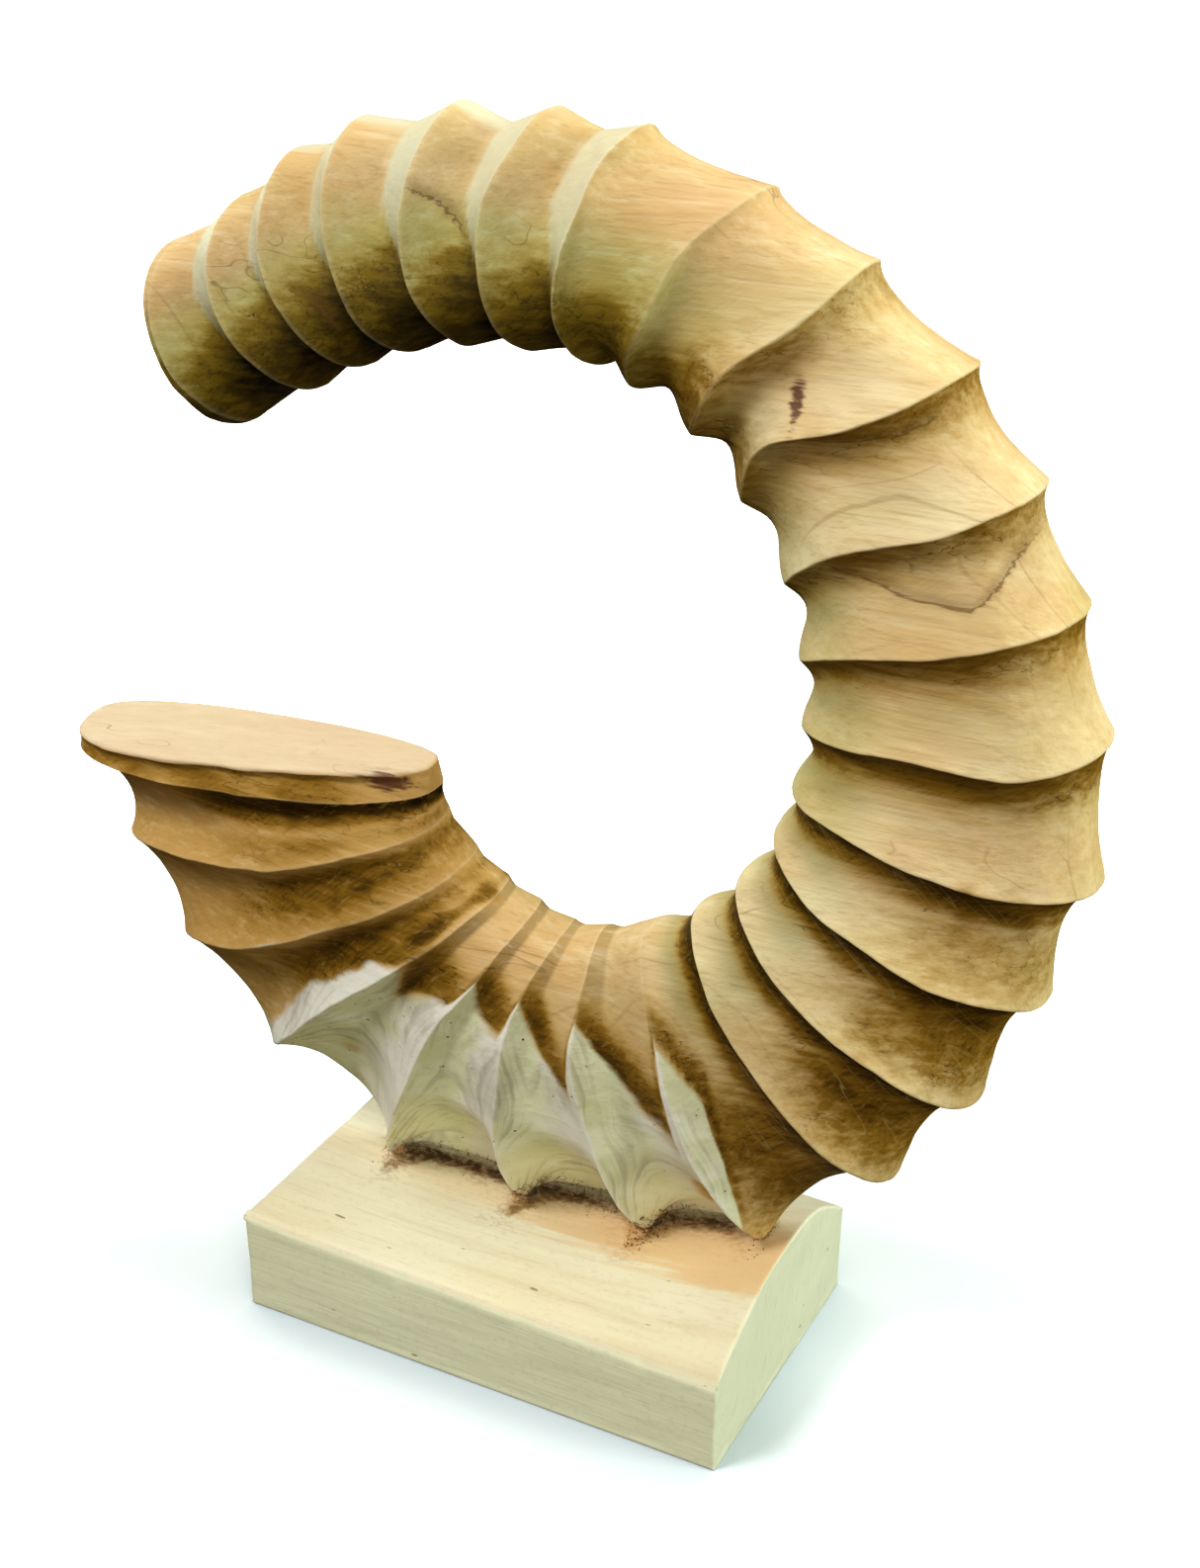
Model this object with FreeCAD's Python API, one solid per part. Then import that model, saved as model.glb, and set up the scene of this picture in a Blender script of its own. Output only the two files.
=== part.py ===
"""Carved wooden horn sculpture: a ridged, C-curled horn standing on a wood block.

Frame: millimetres, +Z up, origin at the centre of the block's underside,
+X along the block's length, -Y towards the side the sculpture is seen from.
"""
import FreeCAD
import Part

import os
from math import cos, pi, sin

# ---- base block -----------------------------------------------------------
BLOCK_LENGTH = 270.0
BLOCK_WIDTH = 159.0
ARRIS_RADIUS = 4.0          # softened long top edges and low end
SPARE = 6.0                 # how far the crown's outline runs past the block before trimming
FALL = 1.0                  # how far the crown drops over that spare width

# Height of the block's top at each station along its length:
# x, front edge, front quarter, middle, back quarter, back edge.
BLOCK_TOP = [
    (-135.0, 57.0, 57.5, 58.0, 58.0, 57.0),
    (-45.0, 54.0, 54.0, 54.5, 54.0, 53.0),
    (50.0, 52.5, 57.0, 60.0, 58.5, 52.5),
    (135.0, 51.0, 69.0, 76.0, 73.0, 49.0),
]

# ---- horn -----------------------------------------------------------------
RING_POINTS = 24            # points that carry one ridge line round the horn
RING_SQUARENESS = 2.3       # 2 would be a plain ellipse
SMALL_END_HALF_WIDTH = 30.0
WIDEST_HALF_WIDTH = 40.0
MOUTH_HALF_WIDTH = 27.0
WIDEST_RIDGE = 20           # where the half width peaks, counted from the small end
OUTER_DRIFT = 14.0          # how far the lower outer edge leans back in Y
DRIFT_START = 12            # first ridge of that lean
DRIFT_FULL = 19             # ridge where the lean is fully grown
MOUTH_TWIST = (11.0, -9.0)  # Y of the mouth's outer and inner ends

# One row per ridge, from the small end to the mouth:
# outer tip x, z; inner tip x, z; bow towards the mouth; front-to-back lean;
# fullness of the outer half; then the hollow after the ridge at the outer
# edge and at the inner edge.
RIDGES = [
    (-191.0, 525.0, -170.0, 461.0, 0.0, 0.0, 0.00, -5.0, -5.0),
    (-179.0, 540.0, -151.0, 456.0, -14.0, 2.0, 0.12, 3.0, 4.0),
    (-145.0, 561.0, -111.0, 476.0, -16.0, 2.0, 0.06, 4.0, 5.0),
    (-116.0, 583.0, -84.0, 490.0, -15.0, 3.0, -0.06, 5.0, 6.0),
    (-82.0, 598.0, -56.0, 500.0, -12.0, 3.0, -0.15, 6.0, 6.0),
    (-33.0, 608.0, -25.0, 506.0, -13.0, 4.0, -0.24, 8.0, 6.0),
    (12.0, 608.0, 8.0, 507.0, -13.0, 5.0, -0.28, 6.0, 6.0),
    (54.0, 604.0, 37.0, 504.0, -10.0, 5.0, -0.30, 4.0, 8.0),
    (109.0, 583.0, 56.0, 496.0, -6.0, 3.0, -0.22, 4.0, 9.0),
    (154.0, 558.0, 82.0, 480.0, -4.0, 0.0, -0.12, 6.0, 10.0),
    (199.0, 522.0, 104.0, 453.0, -9.0, 0.0, -0.01, 6.0, 8.0),
    (230.0, 477.0, 123.0, 423.0, -8.0, -2.0, 0.03, 6.0, 7.0),
    (251.0, 430.0, 131.0, 392.0, -3.0, -3.0, 0.00, 5.0, 6.0),
    (266.0, 374.0, 134.0, 363.0, 2.0, -4.0, -0.03, 5.0, 6.0),
    (267.0, 306.0, 131.0, 334.0, 3.0, -3.0, -0.10, 9.0, 5.0),
    (250.0, 246.0, 124.0, 309.0, 7.0, -3.0, -0.09, 10.0, 7.0),
    (223.0, 185.0, 107.0, 281.0, 8.0, -2.0, -0.05, 10.0, 6.0),
    (185.0, 131.0, 85.0, 258.0, 8.0, 0.0, 0.02, 13.0, 5.0),
    (121.0, 74.0, 60.0, 241.0, 4.0, 3.0, 0.01, 7.0, 2.0),
    (59.0, 59.0, 35.0, 230.0, 12.0, 4.0, 0.07, 7.0, 1.0),
    (-14.0, 53.0, 15.0, 226.0, 16.0, 5.0, -0.04, 8.0, 1.0),
    (-98.0, 53.0, -2.0, 232.0, 12.0, 5.0, -0.17, 15.0, 1.0),
    (-175.0, 101.0, -20.0, 240.0, 4.0, 5.0, -0.24, 10.0, 1.0),
    (-229.0, 158.0, -37.0, 253.0, -6.0, 5.0, -0.26, 8.0, 1.0),
    (-260.0, 214.0, -50.0, 273.0, -8.0, 4.0, -0.20, 9.0, 1.0),
    (-284.0, 265.0, -50.0, 291.0, -3.0, 3.0, 0.12, 0.0, 0.0),
    (-284.0, 275.0, -52.0, 305.0, 0.0, 2.0, 0.20, 0.0, 0.0),
]

# ---- fixings through the block --------------------------------------------
SCREW_PLACES = {"left": (-14.0, 8.0), "right": (59.0, 9.0)}
SCREW_DIAMETER = 8.0
SCREW_CLEARANCE = 8.6
SCREW_TOP = 125.0
SCREW_POINT = 9.0
HEAD_ACROSS_FLATS = 13.0
HEAD_HEIGHT = 5.5
WASHER_DIAMETER = 24.0
WASHER_THICKNESS = 2.0
COUNTERBORE_DIAMETER = 27.0
COUNTERBORE_DEPTH = 12.0

DOWEL_PLACES = {"left": (-96.0, 8.0), "right": (117.0, 9.0)}
DOWEL_DIAMETER = 8.0
DOWEL_BOTTOM = 32.0
DOWEL_TOP = 92.0
DOWEL_CHAMFER = 1.0

UP = FreeCAD.Vector(0, 0, 1)
BACK = FreeCAD.Vector(0, 1, 0)


def signed_power(value, exponent):
    """Power of the size of a number, with its sign kept."""
    size = abs(value) ** exponent
    return size if value >= 0 else -size


def half_width(number):
    """Half the horn's thickness in Y at a ridge, by its place in the list."""
    last = len(RIDGES) - 1
    if number <= WIDEST_RIDGE:
        share = number / WIDEST_RIDGE
        return SMALL_END_HALF_WIDTH + share * (WIDEST_HALF_WIDTH - SMALL_END_HALF_WIDTH)
    share = (number - WIDEST_RIDGE) / (last - WIDEST_RIDGE)
    return WIDEST_HALF_WIDTH + share * (MOUTH_HALF_WIDTH - WIDEST_HALF_WIDTH)


def tip_drift(number):
    """How far the outer and inner tips of a ridge sit behind the horn's middle plane."""
    if number <= DRIFT_START:
        return 0.0, 0.0
    if number <= DRIFT_FULL:
        share = (number - DRIFT_START) / (DRIFT_FULL - DRIFT_START)
        return OUTER_DRIFT * sin(pi / 2 * share), 0.0
    share = (number - DRIFT_FULL) / (len(RIDGES) - 1 - DRIFT_FULL)
    return OUTER_DRIFT + share * (MOUTH_TWIST[0] - OUTER_DRIFT), share * MOUTH_TWIST[1]


def ring_directions(ridge):
    """Unit vectors across the horn (inner to outer tip) and along it (to the mouth)."""
    across = FreeCAD.Vector(ridge[0] - ridge[2], 0, ridge[1] - ridge[3]).normalize()
    along = FreeCAD.Vector(across.z, 0, -across.x)
    return across, along


def ring_shape(turn):
    """Place on the rounded oval: across from -1 (inner) to 1 (outer), side from -1 to 1."""
    exponent = 2.0 / RING_SQUARENESS
    return signed_power(cos(turn), exponent), signed_power(sin(turn), exponent)


def ridge_point(number, turn):
    """One point of a ridge line."""
    ridge = RIDGES[number]
    bow, lean, fullness = ridge[4:7]
    across, along = ring_directions(ridge)
    outer_back, inner_back = tip_drift(number)
    outer = FreeCAD.Vector(ridge[0], outer_back, ridge[1])
    inner = FreeCAD.Vector(ridge[2], inner_back, ridge[3])
    out, side = ring_shape(turn)
    side = side * (1 + fullness * cos(turn))
    centre = (outer + inner) * 0.5
    width = half_width(number)
    if number == 0:
        width = 0.75 * width
    return (centre + (outer - inner) * (0.5 * out) + BACK * (width * side)
            + along * (lean * side + bow * (1 - out * out)))


def hollow_point(number, turn):
    """Control point half way between two ridges, drawn in to hollow the horn there."""
    here = ridge_point(number, turn)
    there = ridge_point(number + 1, turn)
    hollow_outer, hollow_inner = RIDGES[number][7:9]
    out, side = ring_shape(turn)
    depth = 0.5 * (hollow_outer * (1 + out) + hollow_inner * (1 - out))
    across = ring_directions(RIDGES[number])[0] + ring_directions(RIDGES[number + 1])[0]
    inward = across.normalize() * (-out) + BACK * (-side)
    return (here + there) * 0.5 + inward.normalize() * (2 * depth)


def ring_poles(point_at, number):
    """Poles of the closed curve through one ring's points."""
    points = [point_at(number, 2 * pi * step / RING_POINTS) for step in range(RING_POINTS)]
    curve = Part.BSplineCurve()
    curve.interpolate(Points=points, PeriodicFlag=True,
                      Parameters=[float(step) for step in range(RING_POINTS + 1)])
    return curve.getPoles(), curve


def saddle_face(number):
    """Surface from one ridge to the next: a parabola along the horn, a spline round it."""
    start, curve = ring_poles(ridge_point, number)
    middle, _ = ring_poles(hollow_point, number)
    end, _ = ring_poles(ridge_point, number + 1)
    surface = Part.BSplineSurface()
    surface.buildFromPolesMultsKnots([start, middle, end], [3, 3], curve.getMultiplicities(),
                                     [0.0, 1.0], curve.getKnots(), False, True, 2, 3)
    return surface.toShape()


def end_face(number):
    """Flat oval face on an end ring."""
    _, curve = ring_poles(ridge_point, number)
    return Part.Face(Part.Wire([curve.toShape()]))


def make_horn():
    """The whole horn as one carved solid, before it is dressed to the block."""
    last = len(RIDGES) - 1
    faces = [end_face(0)] + [saddle_face(number) for number in range(last)] + [end_face(last)]
    shell = Part.makeShell(faces)
    shell.sewShape()
    if shell.ShapeType == "Compound":
        shell = shell.Shells[0]
    solid = Part.makeSolid(shell)
    if solid.Volume < 0:
        solid.reverse()
    return solid


def crown_section(station):
    """Closed outline across the block at one station, wider and deeper than the block."""
    x, front, front_quarter, middle, back_quarter, back = station
    half = BLOCK_WIDTH / 2
    side = half + SPARE

    def at(y, z):
        return FreeCAD.Vector(x, y, z)

    crown = Part.BSplineCurve()
    crown.interpolate(Points=[at(-side, front - FALL), at(-half, front), at(-half / 2, front_quarter),
                              at(0, middle), at(half / 2, back_quarter), at(half, back),
                              at(side, back - FALL)])
    corners = [at(side, back - FALL), at(side, -SPARE), at(-side, -SPARE), at(-side, front - FALL)]
    sides = [Part.LineSegment(start, end).toShape() for start, end in zip(corners, corners[1:])]
    return Part.Wire([crown.toShape()] + sides)


def is_soft_edge(edge):
    """True for the two long top edges and the two upright edges of the low end."""
    box = edge.BoundBox
    long_top = box.XLength > BLOCK_LENGTH - 1 and box.ZMin > ARRIS_RADIUS
    low_end_upright = box.ZLength > ARRIS_RADIUS and box.XMax < 1 - BLOCK_LENGTH / 2
    return long_top or (low_end_upright and box.YLength < 1)


def make_block():
    """Flat-sided block whose crowned top rises towards its right end."""
    crown = Part.makeLoft([crown_section(station) for station in BLOCK_TOP], True, False)
    corner = FreeCAD.Vector(-BLOCK_LENGTH / 2, -BLOCK_WIDTH / 2, 0)
    block = Part.makeBox(BLOCK_LENGTH, BLOCK_WIDTH, 2 * BLOCK_TOP[-1][3], corner).common(crown)
    return block.makeFillet(ARRIS_RADIUS, [edge for edge in block.Edges if is_soft_edge(edge)])


def make_screw(x, y):
    """Coach screw pointing up, its hexagon head in the counterbore."""
    seat = COUNTERBORE_DEPTH - WASHER_THICKNESS
    radius = HEAD_ACROSS_FLATS / 3 ** 0.5
    corners = [FreeCAD.Vector(x + radius * cos(pi * step / 3), y + radius * sin(pi * step / 3),
                              seat - HEAD_HEIGHT) for step in range(7)]
    head = Part.Face(Part.makePolygon(corners)).extrude(UP * HEAD_HEIGHT)
    shank_length = SCREW_TOP - SCREW_POINT - seat
    shank = Part.makeCylinder(SCREW_DIAMETER / 2, shank_length, FreeCAD.Vector(x, y, seat), UP)
    point = Part.makeCone(SCREW_DIAMETER / 2, 0.5, SCREW_POINT,
                          FreeCAD.Vector(x, y, SCREW_TOP - SCREW_POINT), UP)
    return head.fuse([shank, point]).removeSplitter()


def make_washer(x, y):
    """Flat washer between the screw's head and the counterbore's floor."""
    bottom = FreeCAD.Vector(x, y, COUNTERBORE_DEPTH - WASHER_THICKNESS)
    disc = Part.makeCylinder(WASHER_DIAMETER / 2, WASHER_THICKNESS, bottom, UP)
    hole = Part.makeCylinder(SCREW_CLEARANCE / 2, WASHER_THICKNESS, bottom, UP)
    return disc.cut(hole)


def make_dowel(x, y):
    """Plain dowel with chamfered ends, half in the block and half in the horn."""
    dowel = Part.makeCylinder(DOWEL_DIAMETER / 2, DOWEL_TOP - DOWEL_BOTTOM,
                              FreeCAD.Vector(x, y, DOWEL_BOTTOM), UP)
    rims = [edge for edge in dowel.Edges if isinstance(edge.Curve, Part.Circle)]
    return dowel.makeChamfer(DOWEL_CHAMFER, rims)


def screw_bore(x, y):
    """Counterbore and clearance hole that a screw needs through the block."""
    counterbore = Part.makeCylinder(COUNTERBORE_DIAMETER / 2, COUNTERBORE_DEPTH,
                                    FreeCAD.Vector(x, y, 0), UP)
    clearance = Part.makeCylinder(SCREW_CLEARANCE / 2, 90.0, FreeCAD.Vector(x, y, 0), UP)
    return counterbore.fuse(clearance)


def main():
    """Build every piece and write one STEP file for each."""
    os.makedirs("parts", exist_ok=True)
    pieces = {}
    for name, (x, y) in SCREW_PLACES.items():
        pieces["coach_screw_" + name] = make_screw(x, y)
        pieces["washer_" + name] = make_washer(x, y)
    for name, (x, y) in DOWEL_PLACES.items():
        pieces["dowel_" + name] = make_dowel(x, y)
    screws = [pieces["coach_screw_" + name] for name in SCREW_PLACES]
    dowels = [pieces["dowel_" + name] for name in DOWEL_PLACES]
    plain_block = make_block()
    pieces["horn"] = make_horn().cut([plain_block] + screws + dowels)
    bores = [screw_bore(x, y) for x, y in SCREW_PLACES.values()]
    pieces["base_block"] = plain_block.cut(bores + dowels)
    for name, shape in pieces.items():
        shape.exportStep("parts/" + name + ".step")
        print(name, shape.ShapeType, len(shape.Solids), round(shape.Volume), shape.isValid(),
              shape.BoundBox)


main()
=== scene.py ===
"""Looks of the carved horn on its block: detailed meshes, materials, stage, light and camera."""

import math

import bpy
import numpy as np
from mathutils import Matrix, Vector
from mathutils.kdtree import KDTree


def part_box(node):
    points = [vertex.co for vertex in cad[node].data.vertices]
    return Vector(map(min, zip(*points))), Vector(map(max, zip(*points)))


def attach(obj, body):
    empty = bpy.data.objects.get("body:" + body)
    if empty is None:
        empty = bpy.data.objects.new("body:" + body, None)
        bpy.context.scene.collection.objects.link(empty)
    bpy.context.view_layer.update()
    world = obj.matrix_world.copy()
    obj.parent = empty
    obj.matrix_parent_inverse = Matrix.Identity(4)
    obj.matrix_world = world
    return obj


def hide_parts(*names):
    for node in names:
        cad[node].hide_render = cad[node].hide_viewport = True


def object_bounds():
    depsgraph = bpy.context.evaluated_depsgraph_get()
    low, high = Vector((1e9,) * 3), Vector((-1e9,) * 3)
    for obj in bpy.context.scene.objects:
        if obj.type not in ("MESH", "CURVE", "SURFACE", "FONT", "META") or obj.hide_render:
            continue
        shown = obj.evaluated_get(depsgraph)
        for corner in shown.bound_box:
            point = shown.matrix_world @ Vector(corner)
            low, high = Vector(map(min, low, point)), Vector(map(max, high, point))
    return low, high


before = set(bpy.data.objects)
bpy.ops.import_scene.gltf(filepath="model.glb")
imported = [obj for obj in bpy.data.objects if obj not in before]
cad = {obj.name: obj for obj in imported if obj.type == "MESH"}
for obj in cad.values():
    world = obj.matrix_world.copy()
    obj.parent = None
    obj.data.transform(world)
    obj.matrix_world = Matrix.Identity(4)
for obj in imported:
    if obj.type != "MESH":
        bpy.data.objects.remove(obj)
cad_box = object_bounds()

scene = bpy.context.scene
MM = 0.001
TAU = 2 * math.pi

# ---- the horn's ridges: the same table as the CAD part, in millimetres
# outer tip x and z, inner tip x and z, bow, lean, fullness, hollow at the outer and inner side
RIDGES = np.array([
    (-191, 525, -170, 461, 0, 0, 0, -5, -5),
    (-179, 540, -151, 456, -14, 2, .12, 3, 4),
    (-145, 561, -111, 476, -16, 2, .06, 4, 5),
    (-116, 583, -84, 490, -15, 3, -.06, 5, 6),
    (-82, 598, -56, 500, -12, 3, -.15, 6, 6),
    (-33, 608, -25, 506, -13, 4, -.24, 8, 6),
    (12, 608, 8, 507, -13, 5, -.28, 6, 6),
    (54, 604, 37, 504, -10, 5, -.30, 4, 8),
    (109, 583, 56, 496, -6, 3, -.22, 4, 9),
    (154, 558, 82, 480, -4, 0, -.12, 6, 10),
    (199, 522, 104, 453, -9, 0, -.01, 6, 8),
    (230, 477, 123, 423, -8, -2, .03, 6, 7),
    (251, 430, 131, 392, -3, -3, 0, 5, 6),
    (266, 374, 134, 363, 2, -4, -.03, 5, 6),
    (267, 306, 131, 334, 3, -3, -.10, 9, 5),
    (250, 246, 124, 309, 7, -3, -.09, 10, 7),
    (223, 185, 107, 281, 8, -2, -.05, 10, 6),
    (185, 131, 85, 258, 8, 0, .02, 13, 5),
    (121, 74, 60, 241, 4, 3, .01, 7, 2),
    (59, 59, 35, 230, 12, 4, .07, 7, 1),
    (-14, 53, 15, 226, 16, 5, -.04, 8, 1),
    (-98, 53, -2, 232, 12, 5, -.17, 15, 1),
    (-175, 101, -20, 240, 4, 5, -.24, 10, 1),
    (-229, 158, -37, 253, -6, 5, -.26, 8, 1),
    (-260, 214, -50, 273, -8, 4, -.20, 9, 1),
    (-284, 265, -50, 291, -3, 3, .12, 0, 0),
    (-284, 275, -52, 305, 0, 2, .20, 0, 0),
], float)
LAST = len(RIDGES) - 1
LAST_LOBE = 6               # the small end's hollows are full lobes up to this one
FIRST_FOOT, LAST_FOOT = 18, 21      # the ridges that stand on the block
SQUARENESS = 2.3            # of a ridge line's oval; 2 would be a plain ellipse
SMALL_END_HALF_WIDTH = 30.0
WIDEST_HALF_WIDTH = 40.0
MOUTH_HALF_WIDTH = 27.0
WIDEST_RIDGE = 20
OUTER_DRIFT = 14.0          # how far the lower outer edge leans back
DRIFT_START, DRIFT_FULL = 12, 19
MOUTH_TWIST = (11.0, -9.0)  # Y of the mouth's outer and inner ends

# mesh density: points round a ridge line, and where rings lie between ridges
AROUND = 288
ALONG = np.array([0, .012, .03, .065, .115, .175, .24, .31, .38, .45, .52, .59, .64, .68, .72, .76,
                  .81, .86, .905, .945, .97, .988])

# ---- the block: length, width and the height of its crowned top at stations
BLOCK_LENGTH = 270.0
BLOCK_WIDTH = 159.0
TOP_X = np.array([-135.0, -45.0, 50.0, 135.0])
TOP_Y = np.array([-79.5, -39.75, 0.0, 39.75, 79.5])
TOP_Z = np.array([(57, 57.5, 58, 58, 57), (54, 54, 54.5, 54, 53),
                  (52.5, 57, 60, 58.5, 52.5), (51, 69, 76, 73, 49)], float)
COUNTERBORE_RADIUS = 13.5
CLEARANCE_RADIUS = 4.3
DOWEL_HOLE_RADIUS = 3.95
FOOT_START, FOOT_END = -100, 125     # X of the part of the horn's foot that sheds fibres


# ---- small numerical helpers
def smoothstep(low, high, value):
    share = np.clip((value - low) / (high - low), 0, 1)
    return share * share * (3 - 2 * share)


def window(value, start, full, fade, end):
    """1 between full and fade, easing to 0 at start and end."""
    return smoothstep(start, full, value) * (1 - smoothstep(fade, end, value))


def signed_power(value, exponent):
    return np.sign(value) * np.abs(value) ** exponent


def noise(points, size, seed):
    """Smooth seeded noise from -1 to 1 at points in millimetres; size is one lump's length."""
    table = np.random.default_rng(seed).uniform(-1, 1, (32, 32, 32))
    place = points / size + 512.0
    cell = np.floor(place).astype(int)
    share = place - cell
    share = share * share * (3 - 2 * share)
    total = 0.0
    for corner in range(8):
        step = np.array([corner & 1, corner >> 1 & 1, corner >> 2 & 1])
        x, y, z = np.moveaxis((cell + step) % 32, -1, 0)
        weight = np.prod(np.where(step == 1, share, 1 - share), axis=-1)
        total = total + weight * table[x, y, z]
    return total


def wander(points, size, seed):
    """Three noises as one vector field."""
    return np.stack([noise(points, size, seed + part) for part in range(3)], axis=-1)


def crown_height(heights, y):
    """Smooth cubic fitted to the five heights across the block at one station."""
    return np.polyval(np.polyfit(TOP_Y, heights, 3), y)


def block_top(x, y):
    """Height of the block's crowned top over a place, in millimetres."""
    rows = np.stack([crown_height(row, y) for row in TOP_Z])
    weights = []
    for i, here in enumerate(TOP_X):
        others = [there for j, there in enumerate(TOP_X) if j != i]
        weights.append(np.prod([(x - there) / (here - there) for there in others], axis=0))
    return sum(weight * row for weight, row in zip(weights, rows))


# ---- the horn's shape
def half_width(number):
    """Half the horn's thickness in Y at a ridge."""
    if number <= WIDEST_RIDGE:
        return SMALL_END_HALF_WIDTH + number / WIDEST_RIDGE * (WIDEST_HALF_WIDTH - SMALL_END_HALF_WIDTH)
    share = (number - WIDEST_RIDGE) / (LAST - WIDEST_RIDGE)
    return WIDEST_HALF_WIDTH + share * (MOUTH_HALF_WIDTH - WIDEST_HALF_WIDTH)


def tip_drift(number):
    """How far the outer and inner tips of a ridge sit behind the middle plane."""
    if number <= DRIFT_START:
        return 0.0, 0.0
    if number <= DRIFT_FULL:
        return OUTER_DRIFT * math.sin(math.pi / 2 * (number - DRIFT_START) / (DRIFT_FULL - DRIFT_START)), 0.0
    share = (number - DRIFT_FULL) / (LAST - DRIFT_FULL)
    return OUTER_DRIFT + (MOUTH_TWIST[0] - OUTER_DRIFT) * share, MOUTH_TWIST[1] * share


TURN = np.arange(AROUND) * TAU / AROUND
OUT = signed_power(np.cos(TURN), 2 / SQUARENESS)      # 1 at the outer tip, -1 at the inner
SIDE = signed_power(np.sin(TURN), 2 / SQUARENESS)     # below 0 in front


def directions(number):
    """Unit vectors across the horn (inner to outer tip) and along it (to the mouth)."""
    ridge = RIDGES[number]
    across = np.array([ridge[0] - ridge[2], 0, ridge[1] - ridge[3]])
    across /= np.linalg.norm(across)
    return across, np.array([across[2], 0, -across[0]])


def ridge_line(number):
    """Points of one ridge line, with the small wanders a carver's hand leaves."""
    ridge = RIDGES[number]
    _, along = directions(number)
    outer_back, inner_back = tip_drift(number)
    outer = np.array([ridge[0], outer_back, ridge[1]])
    inner = np.array([ridge[2], inner_back, ridge[3]])
    side = SIDE * (1 + ridge[6] * np.cos(TURN))
    tilt = 0.0
    if number >= LAST - 1:
        side = signed_power(np.sin(TURN), 0.72) * (1 + (ridge[6] + 0.05) * np.cos(TURN))
        side = np.where(SIDE > 0, side * 0.72, side)
        tilt = 4.5 if number == LAST else 2.5
    width = half_width(number) * (0.75 if number == 0 else 1)
    shift = ridge[5] * side + ridge[4] * (1 - OUT ** 2)
    wobble = 1.2 * np.sin(3 * TURN + 1.7 * number) + 0.8 * np.sin(5 * TURN + 2.9 * number)
    shift = shift + wobble * (1 - OUT ** 2) * (5 <= number <= 24)
    if 9 <= number <= 13:
        shift = shift + 3.2 * np.sin(math.pi * OUT) * smoothstep(0, -0.4, SIDE)
    if number == 10:
        shift = shift - 6.0 * np.exp(-((OUT + 0.42) / 0.36) ** 2) * smoothstep(0, -0.4, SIDE)
    return ((outer + inner) / 2 + np.outer(OUT, (outer - inner) / 2)
            + np.outer(width * side, (0, 1, 0)) + np.outer(shift, along) + np.outer(tilt * side, (0, 0, 1)))


def crease_share(number):
    """Where the crease of a hollow runs, as a share of the way to the next ridge, round the ring."""
    if number == 0:
        return np.full(AROUND, 0.5)
    if number <= LAST_LOBE:
        return 0.77 - 0.25 * smoothstep(-0.5, 0.7, OUT)
    return np.full(AROUND, 0.70)


def hollow_profile(number, share):
    """How deep the hollow is at a share of the way to the next ridge, 0 to 1, round the ring.

    At both ends a long face meets a narrow steep one in a crease. Between them the hollows are
    smooth, steepest under the upper ridge, and the ridges' inner tips are rounded over."""
    if number <= LAST_LOBE or number >= FIRST_FOOT:
        valley = crease_share(number)
        crease = np.minimum(share / valley, (1 - share) / (1 - valley))
        folded = 0.7 * crease + 0.3 * np.sin(math.pi / 2 * crease)
        smooth = 1 - (2 * share - 1) ** 2
        return folded + (smooth - folded) * smoothstep(-0.3, 0.5, OUT) * (number >= FIRST_FOOT)
    skewed = share ** (math.log(0.5) / math.log(0.37))
    sharp = 4 * skewed * (1 - skewed)
    soft = math.sin(math.pi * skewed) ** 2
    rounding = smoothstep(0.80, 0.99, -OUT) * 0.9
    return sharp + (soft - sharp) * rounding


def saddle_rows(number):
    """Rings from one ridge up to, not including, the next, with each one's hollow depth."""
    start, end = ridge_line(number), ridge_line(number + 1)
    hollow_outer, hollow_inner = RIDGES[number][7:9]
    depth = (hollow_outer * (1 + OUT) + hollow_inner * (1 - OUT)) / 2
    depth = depth * (1 + 0.3 * (1 - OUT ** 2))
    if number >= FIRST_FOOT:
        depth = depth + 2.5 * (1 - OUT ** 8)
    if number == 24:
        depth = depth + 4.0 * smoothstep(-0.2, 0.8, OUT)
    if 1 <= number <= LAST_LOBE:
        depth = depth + 6.5 * (1 - OUT ** 2)
    arch = {18: 10.0, 19: 14.0, 20: 17.0, 21: 5.0}.get(number, 0.0)
    arch = arch * smoothstep(0.25, 0.85, OUT) * smoothstep(0.35, -0.25, SIDE)
    if FIRST_FOOT <= number < LAST_FOOT:
        depth = depth * (1 - smoothstep(0.5, 0.9, OUT) * smoothstep(-0.25, 0.05, SIDE))
    across = directions(number)[0] + directions(number + 1)[0]
    across /= np.linalg.norm(across)
    inward = -np.outer(OUT, across) - np.outer(SIDE, (0, 1, 0))
    inward /= np.linalg.norm(inward, axis=1, keepdims=True)
    for share in ALONG:
        profile = hollow_profile(number, share)
        drop = profile * depth + (1 - (2 * share - 1) ** 4) * arch
        yield start * (1 - share) + end * share + inward * drop[:, None], profile, number + share


def horn_grid():
    """All rings from the small end to the mouth, with their hollow depth and place."""
    rows, hollows, places = [], [], []
    for number in range(LAST):
        for row, hollow, place in saddle_rows(number):
            rows.append(row)
            hollows.append(hollow)
            places.append(place)
    rows.append(ridge_line(LAST))
    hollows.append(np.zeros(AROUND))
    places.append(float(LAST))
    return np.array(rows), np.array(hollows), np.array(places)


def round_ridges(rows):
    """Take the sharpness off each ridge, as sandpaper does."""
    step = len(ALONG)
    for number in range(1, LAST):
        at = number * step
        rows[at] = rows[at] * 0.4 + (rows[at - 1] + rows[at + 1]) * 0.3
    return rows


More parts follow.
